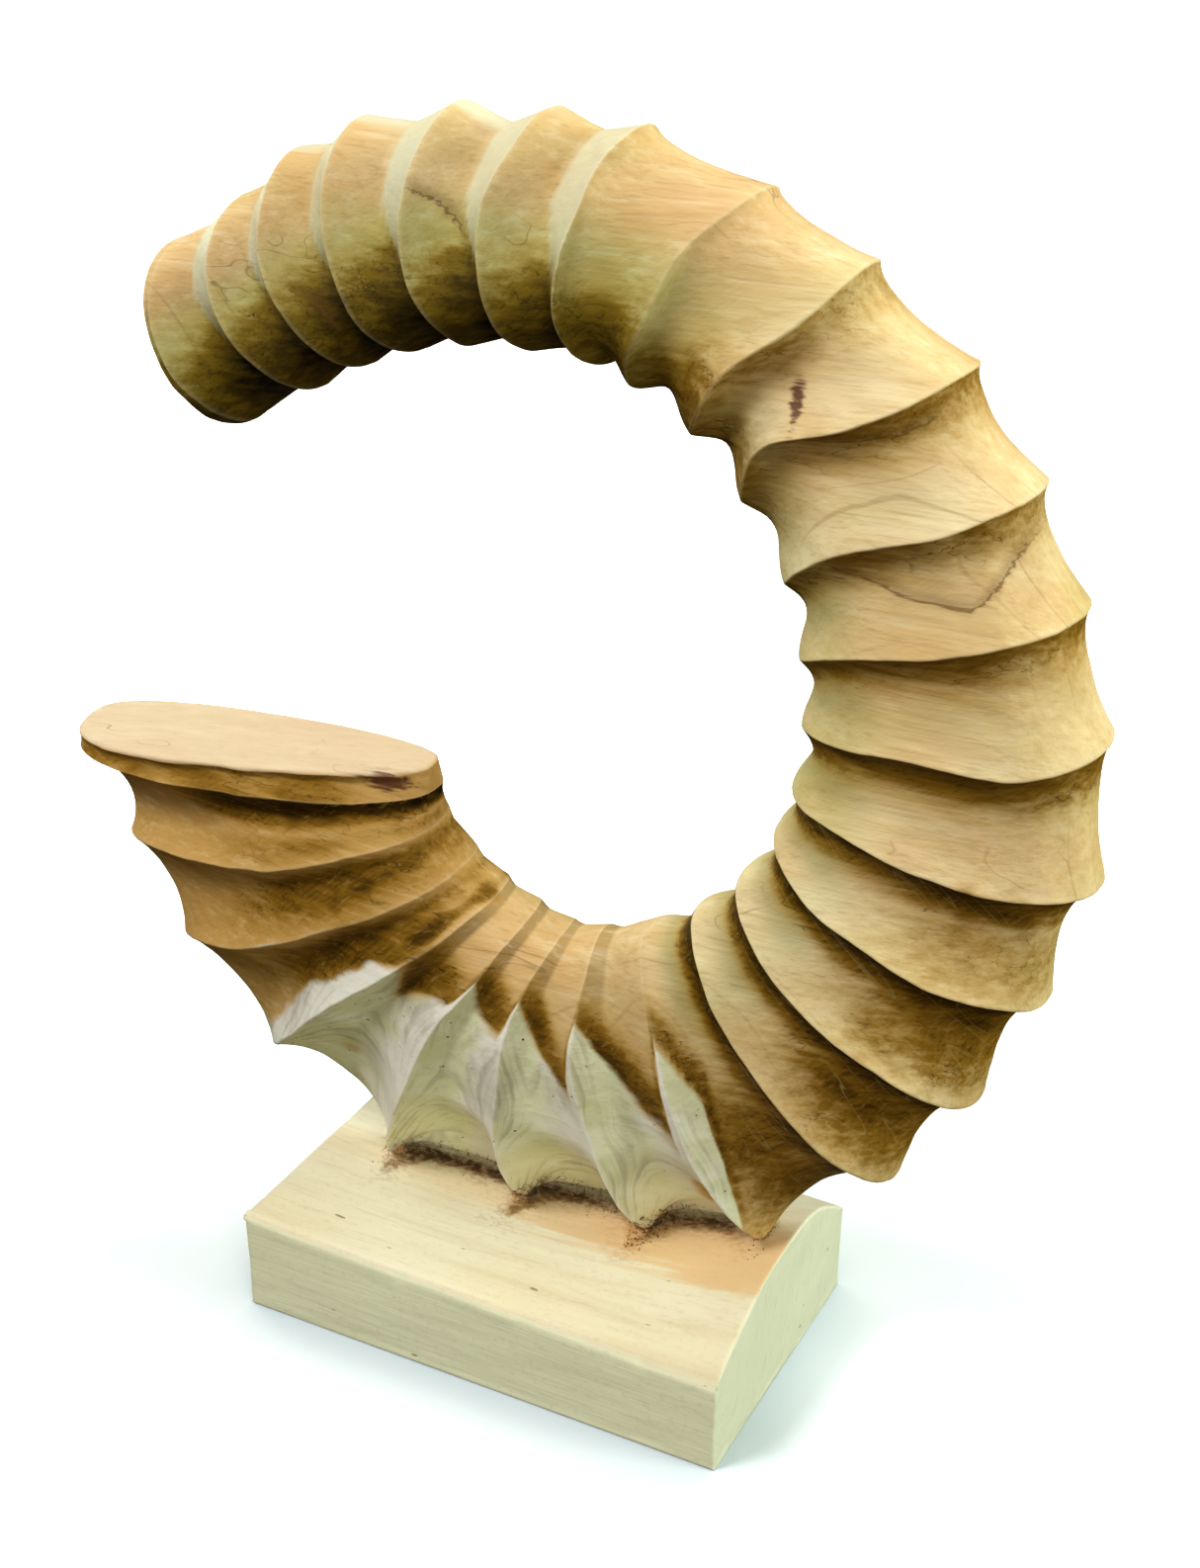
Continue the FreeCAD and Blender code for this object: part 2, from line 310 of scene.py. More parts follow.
def end_loops(ring, outward, bulge, bevel):
    """Loops that close an end ring: a small bevel, then a gently uneven face to the centre."""
    centre = ring.mean(axis=0)
    loops = []
    for reach, rise in ((0.985, 0.55), (0.965, 0.9), (0.93, 1), (0.86, 1), (0.75, 1), (0.62, 1),
                        (0.48, 1), (0.34, 1), (0.20, 1), (0.08, 1)):
        dome = bulge * (1 - reach ** 2)
        loops.append(centre + (ring - centre) * reach + outward * (bevel * rise + dome))
    return loops


def build_horn():
    """The closed horn: its points, faces, hollow depth and place along the ridges."""
    rows, hollows, places = horn_grid()
    rows = round_ridges(rows)
    _, first_along = directions(0)
    quarter = AROUND // 4
    mouth = rows[-1]
    mouth_normal = np.cross(mouth[quarter] - mouth[3 * quarter], mouth[0] - mouth[2 * quarter])
    mouth_normal /= np.linalg.norm(mouth_normal) * np.sign(mouth_normal[2])
    for back, share in enumerate(np.append(ALONG, 1)[::-1], 1):
        rows[-back] -= mouth_normal * 1.6 * share
    head = end_loops(rows[0], -first_along, 5.0, 0.6)[::-1]
    tail = end_loops(rows[-1], mouth_normal, 0.0, 1.6)
    rows = np.concatenate([head, rows, tail])
    hollows = np.concatenate([np.zeros((len(head), AROUND)), hollows, np.zeros((len(tail), AROUND))])
    places = np.concatenate([np.zeros(len(head)), places, np.full(len(tail), LAST + 0.5)])

    points = rows.reshape(-1, 3)
    face = np.repeat(places > LAST, AROUND)
    hand = 0.9 * wander(points, 34, 1) + 0.4 * wander(points, 13, 5) + 0.16 * wander(points, 5, 9)
    hand[face] *= 0.35
    points = points + hand
    tips = np.array([points[:AROUND].mean(axis=0), points[-AROUND:].mean(axis=0)])
    points = np.concatenate([points, tips])

    # dress the horn's foot to the block: nothing reaches below the block's top, and the arches
    # between the ridges' feet stand a little clear of it in front
    place = np.append(np.repeat(places, AROUND), (0, LAST + 0.5))
    inside = (np.abs(points[:, 0]) < 134) & (np.abs(points[:, 1]) < 78)
    clear = 8.0 * (1 - (2 * (place % 1) - 1) ** 4) * ((place > FIRST_FOOT) & (place < LAST_FOOT))
    clear = clear * smoothstep(36, 18, points[:, 1])
    top = block_top(points[:, 0], points[:, 1]) + 0.05 + clear
    points[:, 2] = np.where(inside, np.maximum(points[:, 2], top), points[:, 2])

    count = len(rows)
    faces = []
    for row in range(count - 1):
        a, b = row * AROUND, (row + 1) * AROUND
        for i in range(AROUND):
            j = (i + 1) % AROUND
            faces.append((a + i, a + j, b + j, b + i))
    small_tip, mouth_tip, end = count * AROUND, count * AROUND + 1, (count - 1) * AROUND
    for i in range(AROUND):
        j = (i + 1) % AROUND
        faces.append((small_tip, j, i))
        faces.append((mouth_tip, end + i, end + j))
    return points, faces, np.append(hollows.reshape(-1), (0, 0)), place


def make_mesh(name, points, faces, attributes=None):
    """A mesh object from points in millimetres, with one float attribute per point each."""
    mesh = bpy.data.meshes.new(name)
    mesh.from_pydata((points * MM).tolist(), [], faces)
    mesh.update()
    for key, values in (attributes or {}).items():
        layer = mesh.attributes.new(key, "FLOAT", "POINT")
        layer.data.foreach_set("value", np.asarray(values, np.float32))
    mesh.shade_smooth()
    thing = bpy.data.objects.new(name, mesh)
    scene.collection.objects.link(thing)
    return thing


# dark grain marks on the horn's front: x and z of each line's corners, left to right
MARKS = (
    ((150, 441), (185, 434), (212, 431), (221, 443), (230, 463)),
    ((140, 492), (161, 494), (177, 499), (192, 506)),
    ((-44, 576), (-30, 566), (-22, 556)),
    ((-108, 528), (-94, 520), (-86, 511)),
)

# brown spots on the horn's front: centre x and z, half width, half height and slope
SPOTS = ((-80, 240, 34, 6, 0.7), (-44, 224, 24, 6, 0.8), (-120, 272, 44, 7, 0.1),
         (234, 296, 26, 9, -0.2), (222, 236, 28, 9, -0.5), (172, 186, 28, 10, -0.8))

# knots: centre and half size
KNOTS = (((134, -27, 504), (3.0, 30, 9)), ((-70, -22, 294), (13, 30, 4.5)))


def grain_marks(points):
    """Each place's height over the nearest grain mark, in millimetres, and how plain the mark is there."""
    x, y, z = points.T
    offset, shown = np.full(len(x), 20.0), np.zeros(len(x))
    for line in MARKS:
        xs, zs = np.array(line, float).T
        steep = np.interp(x, (xs[1:] + xs[:-1]) / 2, np.diff(zs) / np.diff(xs))
        over = (z - np.interp(x, xs, zs)) / np.hypot(1, steep)
        here = window(x, xs[0] - 3, xs[0] + 4, xs[-1] - 4, xs[-1] + 3)
        here = here * (np.abs(over) < 18) * (y < 0)
        offset = np.where(here > 0, over, offset)
        shown = np.maximum(shown, here)
    return offset, shown


def horn_attributes(points, hollow, place):
    """One float a point for each thing the horn's material varies by, such as sapwood, stains, painted shade
    and painted sheen.
    """
    x, y, z = points.T
    rings = (len(points) - 2) // AROUND
    wave = 5 * noise(points, 26, 21) + 2.5 * noise(points, 9, 22)
    share = place % 1
    tongue = smoothstep(0.0, 0.1, share) * (1 - share) ** 1.2
    tongue = tongue * smoothstep(-72, -20, x) * (26 + 26 * smoothstep(-5, 25, x))
    border = 118 - 2.4 * (np.clip(y, -42, 0) + np.clip(y - 20, 0, 30)) - tongue
    border = border - 3.2 * np.clip(x - 100, 0, None)
    sapwood = (border + wave - z) / 10
    ridge = 1 - smoothstep(0.0, 0.13, hollow)
    ridge[(place < 0.02) | (place > LAST - 0.02)] = 0
    patch = np.clip(0.93 + 0.17 * noise(points, 24, 23) + 0.09 * noise(points, 8, 24), 0, 1)
    out = np.concatenate([np.tile(OUT, rings), (0, 0)])
    # brown staining above the sapwood, strongest in the tongues, made deeper in the hollows by painted shade
    above = window(z - border, -3, 6, 6, 50)
    low = above * smoothstep(-125, -85, x) * smoothstep(0, -20, y) * (0.38 + 0.30 * hollow)
    # dark band under the sawn rim, partly real staining and partly painted shade under the rim, and brown
    # patches below it, deeper in the hollows as painted shade
    slab = window(place, 24.3, 24.85, 24.97, 25) * smoothstep(-240, -150, x)
    lower_slab = window(place, 21.6, 22.6, 24.2, 24.7)
    lower_slab = lower_slab * (0.14 + 0.50 * hollow * np.exp(-((x + 95) / 60) ** 2))
    spots = np.zeros(len(points))
    uneven = 1 + 0.45 * noise(points, 11, 25)
    for sx, sz, wide, tall, slope in SPOTS:
        away = np.hypot((x - sx) / wide, ((z - sz) - slope * (x - sx)) / tall) * uneven
        spots = np.maximum(spots, np.exp(-away ** 2) * (y < 12))
    # under each ridge on the right, brown, darkest low down: partly the rough-carved wood's own staining,
    # partly painted shade under the ridges
    step = window(share, -0.01, 0.012, -0.05, 0.68)
    right = step * smoothstep(8, 9.5, place) * (1 - smoothstep(17.2, 18, place))
    right = right * (0.46 + 0.50 * smoothstep(12.2, 15.6, place))
    right = right * (0.85 + 0.15 * smoothstep(0.95, 0.3, out))
    # darkest at the outer end of the hollows lower down on the right: partly brown staining, partly painted
    # shade deep in the hollows
    corner = np.exp(-((out - 0.45) / 0.5) ** 2 - ((share - 0.22) / 0.2) ** 2) * (y < 40)
    corner = corner * smoothstep(14.5, 15.5, place) * (1 - smoothstep(17.6, 17.95, place))
    # rough-carved band low on the right, darker in the hollows: partly the rough wood's colour, partly
    # painted shade
    rough = window(place, 12.5, 16, 18, 18.6) * smoothstep(-0.6, 0.4, out) * 0.50
    # painted shade on the undersides of the small end
    under = smoothstep(0.50, -0.95, out) * (1 - 0.5 * smoothstep(3.5, 9.5, place))
    under = under * (1 - smoothstep(9.5, 11, place))
    under = under * (0.66 + 0.42 * smoothstep(0.1, 0.75, share)) * (0.75 + 0.25 * smoothstep(0.5, 2, place))
    # real brown stains and painted shade, merged into one mask
    layers = [low, 0.85 * slab, lower_slab, right, rough * (0.35 + 0.65 * hollow), under,
              0.7 * spots, 0.74 * corner]
    stain_and_shade = np.clip(np.maximum.reduce(layers) * patch, 0, 1.1)
    rim = 0.38 - 0.28 * smoothstep(-110, -70, x)
    stain_and_shade = np.where(place > LAST - 0.99, rim * patch, stain_and_shade)
    stain_and_shade = np.where(place > LAST - 0.03, 0, stain_and_shade)
    # tan faces at the small end, along the bottom and under the sawn rim
    tan = 0.45 * (1 - smoothstep(7, 9.5, place))
    tan = tan + 0.22 * smoothstep(7, 9, place) * (1 - smoothstep(12, 13, place))
    tan = tan + 0.45 * smoothstep(16, 18.5, place)
    tan = tan + 0.4 * smoothstep(21.5, 23, place) * (1 - smoothstep(LAST - 0.1, LAST, place))
    # painted sheen: pale strips left of each ridge and over the top of the small end, where the faces catch
    # the light; and a pale patch beside the upper knot
    start = np.tile(crease_share(1), rings)
    start = np.concatenate([start, (1, 1)])
    pale = smoothstep(-0.01, 0.03, share - start) * smoothstep(-0.55, 0.2, out) * (place < 7) * (place > 1)
    over = smoothstep(-10, -4, y) * smoothstep(1.5, 2.2, place) * (1 - smoothstep(5.5, 6.5, place))
    over = over * smoothstep(-0.15, 0.35, out + 0.12 * noise(points, 12, 28))
    blaze = np.exp(-(((x - 121) / 11) ** 2 + ((z - 497) / 13) ** 2)) * (y < 0)
    pale = np.maximum(np.maximum(pale, over), 0.45 * blaze)
    # painted shade: olive on the narrow steep side of each hollow along the bottom
    olive = smoothstep(0.68, 0.76, share) * smoothstep(17.9, 18.1, place) * (1 - smoothstep(22, 23, place))
    # painted shade: olive darkening at the inner ends of the hollows on the right, strongest just under the
    # upper ridge
    inner = smoothstep(-0.2, -0.7, out) * smoothstep(8.2, 9.2, place) * (1 - smoothstep(17.5, 18, place))
    # painted greenish cast of the surrounding light over the shade on the lower side of the small end and on
    # the inner ends
    green = np.maximum(0.3 * inner, smoothstep(0.6, 0.0, out) * (1 - smoothstep(7.5, 9.5, place)))
    inner = inner * (1 - smoothstep(0.45, 0.9, share))
    # whiter just below each ridge along the bottom: partly the sapwood's own colour, partly a painted
    # highlight where those faces catch the light
    crest = (1 - smoothstep(0.22, 0.62, share + 0.12 * noise(points, 11, 26))) * smoothstep(17, 18, place)
    mark, marked = grain_marks(points + 1.2 * wander(points, 9, 27))
    knot = np.zeros(len(points))
    for centre, size in KNOTS:
        away = np.sum(((points - centre) / size) ** 2, axis=1)
        knot = np.maximum(knot, np.exp(-away))
    return {"sapwood": sapwood, "stain_and_shade": stain_and_shade, "ridge": ridge, "pale": pale, "crest": crest,
            "tan": tan, "olive": olive, "inner": inner, "green": green, "mark": mark, "marked": marked,
            "sawn": (place > LAST).astype(float), "knot": np.clip(knot, 0, 1)}


# ---- the block's shape
def spaced(half, count, fine=(0, .5, 1.1, 1.8, 2.7, 3.8, 5.2, 7.5)):
    """Stations across a side, close together near both edges."""
    fine = np.array(fine)
    middle = np.linspace(-half + fine[-1], half - fine[-1], count)
    return np.concatenate([-half + fine[:-1], middle, half - fine[:-1][::-1]])


def round_pair(first, second, radius):
    """Move points near the edge where both distances run out onto a quarter circle."""
    near = (first > -radius) & (second > -radius)
    a, b = first + radius, second + radius
    length = np.maximum(np.hypot(a, b), 1e-9)
    scale = np.where(near, radius / length, 1)
    scale = np.where(near & (np.maximum(a, b) > radius - 1e-6), scale, 1)
    return np.where(near, a * scale - radius, first), np.where(near, b * scale - radius, second)


def build_block():
    """The block: a fine grid on each side, shaped to the crown, softened and roughened."""
    xs, ys = spaced(BLOCK_LENGTH / 2, 90), spaced(BLOCK_WIDTH / 2, 54)
    zs = spaced(0.5, 16, (0, .008, .018, .03, .045, .065, .09)) + 0.5
    index, points, faces = {}, [], []

    def corner(i, j, k):
        key = (i, j, k)
        if key not in index:
            index[key] = len(points)
            points.append((xs[i], ys[j], zs[k]))
        return index[key]

    def quad(*places):
        faces.append([corner(*place) for place in places])

    nx, ny, nz = len(xs) - 1, len(ys) - 1, len(zs) - 1
    for i in range(nx):
        for j in range(ny):
            quad((i, j, nz), (i + 1, j, nz), (i + 1, j + 1, nz), (i, j + 1, nz))
            quad((i, j, 0), (i, j + 1, 0), (i + 1, j + 1, 0), (i + 1, j, 0))
    for i in range(nx):
        for k in range(nz):
            quad((i, 0, k), (i + 1, 0, k), (i + 1, 0, k + 1), (i, 0, k + 1))
            quad((i, ny, k), (i, ny, k + 1), (i + 1, ny, k + 1), (i + 1, ny, k))
    for j in range(ny):
        for k in range(nz):
            quad((0, j, k), (0, j, k + 1), (0, j + 1, k + 1), (0, j + 1, k))
            quad((nx, j, k), (nx, j + 1, k), (nx, j + 1, k + 1), (nx, j, k + 1))
    points = np.array(points)
    x, y, z = points.T.copy()
    top = block_top(x, y)
    z = z * top

    # soften the edges, each with its own radius: worn long edges, crisper sawn ends
    edge_x, edge_y, edge_z = np.abs(x) - BLOCK_LENGTH / 2, np.abs(y) - BLOCK_WIDTH / 2, z - top
    edge_y, edge_z = round_pair(edge_y, edge_z, 5.0)
    end = np.where(x > 0, 1.6, 3.0)
    edge_x, edge_z = round_pair(edge_x, edge_z, end)
    edge_x, edge_y = round_pair(edge_x, edge_y, np.where(x > 0, 1.4, 4.0))
    floor_y, foot = round_pair(edge_y, -z, 1.0)
    edge_y = np.where(z < 2, floor_y, edge_y)
    z = np.where(z < 2, -foot, edge_z + top)
    x = np.sign(x) * (edge_x + BLOCK_LENGTH / 2)
    y = np.sign(y) * (edge_y + BLOCK_WIDTH / 2)
    points = np.stack([x, y, z], axis=-1)

    rough = 0.45 * wander(points * (0.35, 1, 1), 22, 31) + 0.18 * wander(points * (0.3, 1, 1), 6, 35)
    rough[z < 3] = 0
    saw = 0.22 * noise(points * (1, 0.15, 1), 2.2, 41) * (x > BLOCK_LENGTH / 2 - 1)
    points = points + np.minimum(rough, 0.35)
    points[:, 0] += saw
    heart = np.array((0, 0, 30.0))
    for px, py, pz, size, depth in ((96, -79, 50, 3, 1.1), (112, -78, 55, 2.5, 0.9), (-40, -79, 51, 4, 0.8),
                                    (126, -60, 62, 3, 1.0), (30, -79, 48, 3, 0.7), (-118, -70, 57, 3, 0.8)):
        away = np.linalg.norm(points - (px, py, pz), axis=1)
        inward = heart - points
        inward /= np.linalg.norm(inward, axis=1, keepdims=True)
        points = points + inward * (depth * np.exp(-(away / size) ** 2))[:, None]
    return points, faces


def bore_plug(x, y, radius, low, high):
    """A closed cylinder used to cut a hole, then thrown away."""
    sides = 64
    angle = np.arange(sides) * TAU / sides
    ring = np.stack([x + radius * np.cos(angle), y + radius * np.sin(angle)], axis=-1)
    points = np.concatenate([np.column_stack([ring, np.full(sides, low)]),
                             np.column_stack([ring, np.full(sides, high)])])
    faces = [tuple(range(sides))[::-1], tuple(range(sides, 2 * sides))]
    faces += [(i, (i + 1) % sides, sides + (i + 1) % sides, sides + i) for i in range(sides)]
    return make_mesh("bore", points, faces)


def cut(thing, plugs):
    """Cut the plugs out of thing, and remove them."""
    for plug in plugs:
        modifier = thing.modifiers.new("bore", "BOOLEAN")
        modifier.operation = "DIFFERENCE"
        modifier.solver = "EXACT"
        modifier.object = plug
    evaluated = thing.evaluated_get(bpy.context.evaluated_depsgraph_get())
    mesh = bpy.data.meshes.new_from_object(evaluated)
    thing.modifiers.clear()
    thing.data = mesh
    for plug in plugs:
        bpy.data.objects.remove(plug)


def middle_of(node):
    """Centre of a CAD node's box in X and Y, and its lowest and highest Z, in millimetres."""
    low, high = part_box(node)
    centre = (low + high) * 500
    return centre.x, centre.y, low.z * 1000, high.z * 1000


def block_bores():
    """Plugs for the fixings' holes in the block."""
    plugs = []
    for side in ("left", "right"):
        x, y, _, top = middle_of("washer_" + side)
        plugs.append(bore_plug(x, y, COUNTERBORE_RADIUS, -5, top))
        plugs.append(bore_plug(x, y, CLEARANCE_RADIUS, top - 1, 95))
        x, y, low, high = middle_of("dowel_" + side)
        plugs.append(bore_plug(x, y, DOWEL_HOLE_RADIUS, low, high))
    return plugs


# ---- torn fibres and sawdust where the horn's foot meets the block
STRANDS = 1300
CRUMBS = 520


def build_fibres(points):
    """Thin tapered strands and crumbs along the front of the foot, thickest in the gaps."""
    rng = np.random.default_rng(7)
    x, y, z = points.T
    gap = z - block_top(x, y)
    foot = points[(gap > 0.2) & (gap < 14) & (y < 22) & (x > FOOT_START) & (x < FOOT_END)]
    verts, faces = [], []
    thick = window(foot[:, 0], -80, -30, 60, 90) + 0.25
    for pick in rng.choice(len(foot), STRANDS, p=thick / thick.sum()):
        root = foot[pick] + rng.normal(0, 0.5, 3)
        root[2] = max(root[2], block_top(root[0], root[1]) + 0.1)
        lean = np.array([rng.normal(0, 1.0), rng.normal(-0.8, 0.7), rng.normal(-0.15, 0.5)])
        lean /= np.linalg.norm(lean)
        length, radius = rng.uniform(1.2, 4.2), rng.uniform(0.10, 0.22)
        bend = rng.normal(0, 0.35, 3)
        side = np.cross(lean, (0, 0, 1.0))
        side /= np.linalg.norm(side) + 1e-9
        up = np.cross(side, lean)
        base = len(verts)
        for part, girth in ((0, 1.0), (0.5, 0.8)):
            spot = root + lean * length * part + bend * part ** 2 * length
            spot[2] = max(spot[2], block_top(spot[0], spot[1]) + 0.15)
            for turn in range(3):
                angle = TAU * turn / 3
                verts.append(spot + radius * girth * (side * math.cos(angle) + up * math.sin(angle)))
        tip = root + lean * length + bend * length
        tip[2] = max(tip[2], block_top(tip[0], tip[1]) + 0.15)
        verts.append(tip)
        for turn in range(3):
            after = (turn + 1) % 3
            faces.append((base + turn, base + after, base + 3 + after, base + 3 + turn))
            faces.append((base + 3 + turn, base + 3 + after, base + 6))
        faces.append((base + 2, base + 1, base))
    for pick in rng.choice(len(foot), CRUMBS, p=thick / thick.sum()):
        spot = foot[pick] + np.array([rng.normal(0, 3), -abs(rng.normal(0, 4.5)), 0])
        size = rng.uniform(0.22, 0.7)
        spot[2] = block_top(spot[0], spot[1]) + size * 0.45
        base = len(verts)
        for axis in range(3):
            for way in (-1, 1):
                point = spot.copy()
                point[axis] += way * size * rng.uniform(0.5, 1.1)
                verts.append(point)
        for a in (0, 1):
            for b in (2, 3):
                for c in (4, 5):
                    face = (base + a, base + b, base + c)
                    faces.append(face if (a + b + c) % 2 == 1 else face[::-1])
    return np.array(verts), faces


def sawdust_and_shade_on(points, horn):
    """Brown sawdust on the block's top, close in front of the horn's foot, with painted shade in the gaps
    under the foot.
    """
    foot = horn[(horn[:, 2] - block_top(horn[:, 0], horn[:, 1]) < 16) & (horn[:, 1] < 16)]
    foot = foot[(foot[:, 0] > FOOT_START) & (foot[:, 0] < FOOT_END)]
    foot[:, 2] = block_top(foot[:, 0], foot[:, 1])
    tree = KDTree(len(foot))
    for number, spot in enumerate(foot):
        tree.insert(spot, number)
    tree.balance()
    away = np.array([tree.find(point)[2] if point[2] > 45 else 99 for point in points])
    patch = 0.9 + 0.25 * noise(points, 14, 51) + 0.2 * noise(points, 5, 52)
    ends = window(points[:, 0], -108, -86, 95, 125)
    return np.clip((0.80 * np.exp(-(away / 3) ** 2) + 0.32 * np.exp(-(away / 13) ** 2)) * patch * ends, 0, 1)


# ---- materials
class Recipe:
    """A node material, built one named step at a time."""

    def __init__(self, name):
        self.material = bpy.data.materials.new(name)
        self.material.use_nodes = True
        self.tree = self.material.node_tree
        self.tree.nodes.clear()
        self.shader = self.new("BsdfPrincipled")
        output = self.new("OutputMaterial")
        self.tree.links.new(self.shader.outputs[0], output.inputs["Surface"])
        self.place = self.new("TexCoord").outputs["Object"]

    def new(self, kind):
        return self.tree.nodes.new("ShaderNode" + kind)

    def put(self, node, socket, value):
        if isinstance(value, bpy.types.NodeSocket):
            self.tree.links.new(value, node.inputs[socket])
        else:
            node.inputs[socket].default_value = value

    def attribute(self, name):
        node = self.new("Attribute")
        node.attribute_name = name
        return node.outputs["Fac"]

    def axis(self, vector, name):
        node = self.new("SeparateXYZ")
        self.put(node, 0, vector)
        return node.outputs[name]

    def facing(self, name):
        """One part of the surface's own normal in the object's frame."""
        return self.axis(self.new("NewGeometry").outputs["Normal"], name)

    def mapped(self, vector, rotation, scale):
        node = self.new("Mapping")
        for socket, value in (("Vector", vector), ("Rotation", rotation), ("Scale", scale)):
            self.put(node, socket, value)
        return node.outputs[0]

    def turned(self, rotation):
        return self.mapped(self.place, rotation, (1, 1, 1))

    def shift(self, vector, by, amount):
        """vector moved by a colour noise, centred on nothing."""
        less = self.new("VectorMath")
        less.operation = "SUBTRACT"
        self.put(less, 0, by)
        self.put(less, 1, (0.5, 0.5, 0.5))
        node = self.new("VectorMath")
        node.operation = "MULTIPLY_ADD"
        self.put(node, 0, less.outputs[0])
        self.put(node, 1, amount)
        self.put(node, 2, vector)
        return node.outputs[0]

    def noise(self, scale, vector=None, detail=3.0, rough=0.5, colour=False):
        """Noise with so many lumps a metre along each axis."""
        spot = self.mapped(vector or self.place, (0, 0, 0), scale)
        node = self.new("TexNoise")
        for socket, value in (("Vector", spot), ("Scale", 1.0), ("Detail", detail), ("Roughness", rough)):
            self.put(node, socket, value)
        return node.outputs["Color" if colour else "Fac"]

    def math(self, operation, *values):
        node = self.new("Math")
        node.operation = operation
        for socket, value in enumerate(values):
            self.put(node, socket, value)
        return node.outputs[0]

    def times(self, first, second):
        return self.math("MULTIPLY", first, second)

    def span(self, value, low, high, start=0.0, end=1.0):
        """value from low to high, eased into start to end."""
        node = self.new("MapRange")
        node.interpolation_type = "SMOOTHSTEP"
        for socket, item in enumerate((value, low, high, start, end)):
            self.put(node, socket, item)
        return node.outputs[0]

    def ramp(self, value, stops):
        node = self.new("ValToRGB")
        elements = node.color_ramp.elements
        while len(elements) < len(stops):
            elements.new(0.5)
        for element, (place, colour) in zip(elements, stops):
            element.position = place
            element.color = rgb(colour)
        self.put(node, 0, value)
        return node.outputs[0]

    def mix(self, share, first, second, blend="MIX"):
        node = self.new("Mix")
        node.data_type = "RGBA"
        node.blend_type = blend
        self.put(node, 0, share)
        self.put(node, 6, rgb(first))
        self.put(node, 7, rgb(second))
        return node.outputs[2]

    def bump(self, height, distance, strength):
        node = self.new("Bump")
        self.put(node, "Height", height)
        self.put(node, "Distance", distance)
        self.put(node, "Strength", strength)
        return node.outputs[0]

    def finish(self, colour, roughness, normal=None, **constants):
        self.put(self.shader, "Base Color", colour)
        self.put(self.shader, "Roughness", roughness)
        if normal is not None:
            self.put(self.shader, "Normal", normal)
        for socket, value in constants.items():
            self.put(self.shader, socket.replace("_", " "), value)
        return self.material


def rgb(colour):
    """A display colour as red, green, blue out of 255 turned into linear light; sockets pass through."""
    if isinstance(colour, bpy.types.NodeSocket):
        return colour
    parts = [part / 255 for part in colour]
    return tuple(p / 12.92 if p <= 0.04045 else ((p + 0.055) / 1.055) ** 2.4 for p in parts) + (1.0,)


